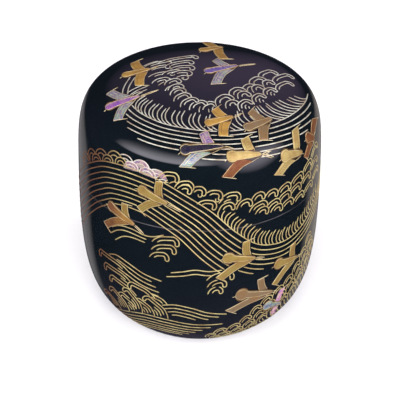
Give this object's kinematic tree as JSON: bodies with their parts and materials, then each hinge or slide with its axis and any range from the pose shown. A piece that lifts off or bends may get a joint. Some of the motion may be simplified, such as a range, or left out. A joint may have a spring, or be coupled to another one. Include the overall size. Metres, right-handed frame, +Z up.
{
  "type": "lacquer tea caddy",
  "caption": "Round lidded tea caddy with a domed lift-off lid that slips over the collar of a tapering, hollow body.",
  "frame": {"origin": "centre of the base, on the plane that the caddy stands on", "axes": "+Z up along the turning axis; -Y faces the picture's camera"},
  "size_m": [0.066, 0.066, 0.0715],
  "materials": {
    "black_lacquer": "turned wood under black lacquer polished to a mirror gloss",
    "gold_powder": "sprinkled gold powder, burnished to a soft satin",
    "shell_inlay": "thin mother-of-pearl, violet, pink and green under clear lacquer"
  },
  "bodies": {
    "root": {"body": "black_lacquer", "lid": "black_lacquer"}
  },
  "joints": []
}
